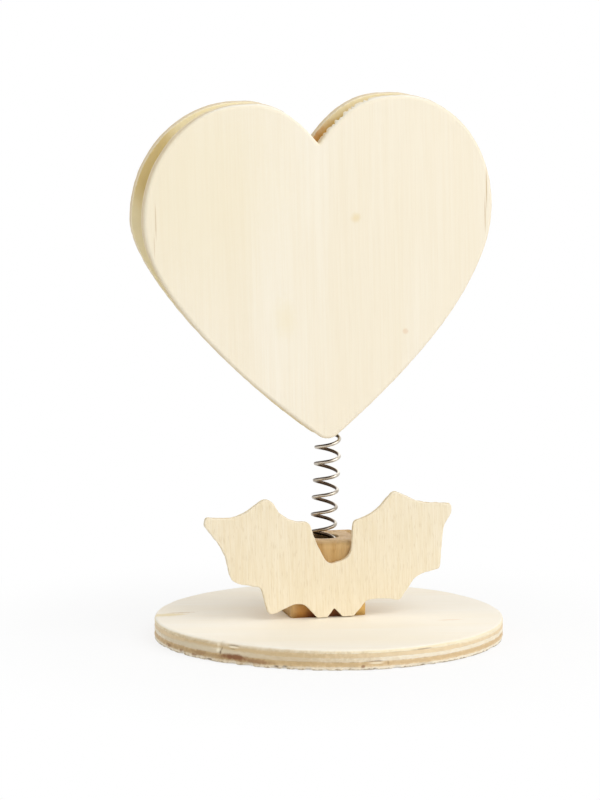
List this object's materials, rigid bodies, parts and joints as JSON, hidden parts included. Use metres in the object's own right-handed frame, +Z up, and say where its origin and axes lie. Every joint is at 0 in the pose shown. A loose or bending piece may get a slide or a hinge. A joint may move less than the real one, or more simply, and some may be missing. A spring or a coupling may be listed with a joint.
{
  "type": "memo holder",
  "caption": "Wooden memo holder: heart panels with a memo slot between them, on a coil spring that rises from a block on a round plywood base with a leaf-shaped front plate.",
  "frame": {"origin": "centre of the round base's underside", "axes": "+Z up from the base to the hearts, -Y towards the front, where the leaf plate is, +X to the viewer's right"},
  "size_m": [0.0884, 0.084, 0.13],
  "materials": {
    "base_ply": "raw sanded plywood, cream face, brown-banded edge",
    "heart_ply": "raw sanded plywood, fine upright grain, eased edges",
    "leaf_ply": "raw sawn plywood, open upright grain",
    "hardwood": "raw golden-brown hardwood",
    "spring_steel": "bare drawn spring wire"
  },
  "bodies": {
    "stand": {"base_disc": "base_ply", "stem_block": "hardwood", "leaf_plate": "leaf_ply"},
    "spring_stem": {"spring": "spring_steel"},
    "head": {"heart_front": "heart_ply", "heart_back": "heart_ply", "heart_spacer": "hardwood"}
  },
  "joints": [
    {"name": "sway", "type": "hinge", "parent": "stand", "child": "spring_stem", "pos_m": [0.0007, 0.0071, 0.0293], "axis": [0, 1, 0], "range_deg": [-35, 35], "stiffness_Nm_per_rad": 0.042, "springref_deg": 0.79, "deforming": ["spring"]},
    {"name": "nod", "type": "hinge", "parent": "spring_stem", "child": "head", "pos_m": [0.0015, 0.0072, 0.0418], "axis": [1, 0, 0], "range_deg": [-35, 35], "stiffness_Nm_per_rad": 0.042, "springref_deg": -0.82, "deforming": ["spring"]}
  ]
}
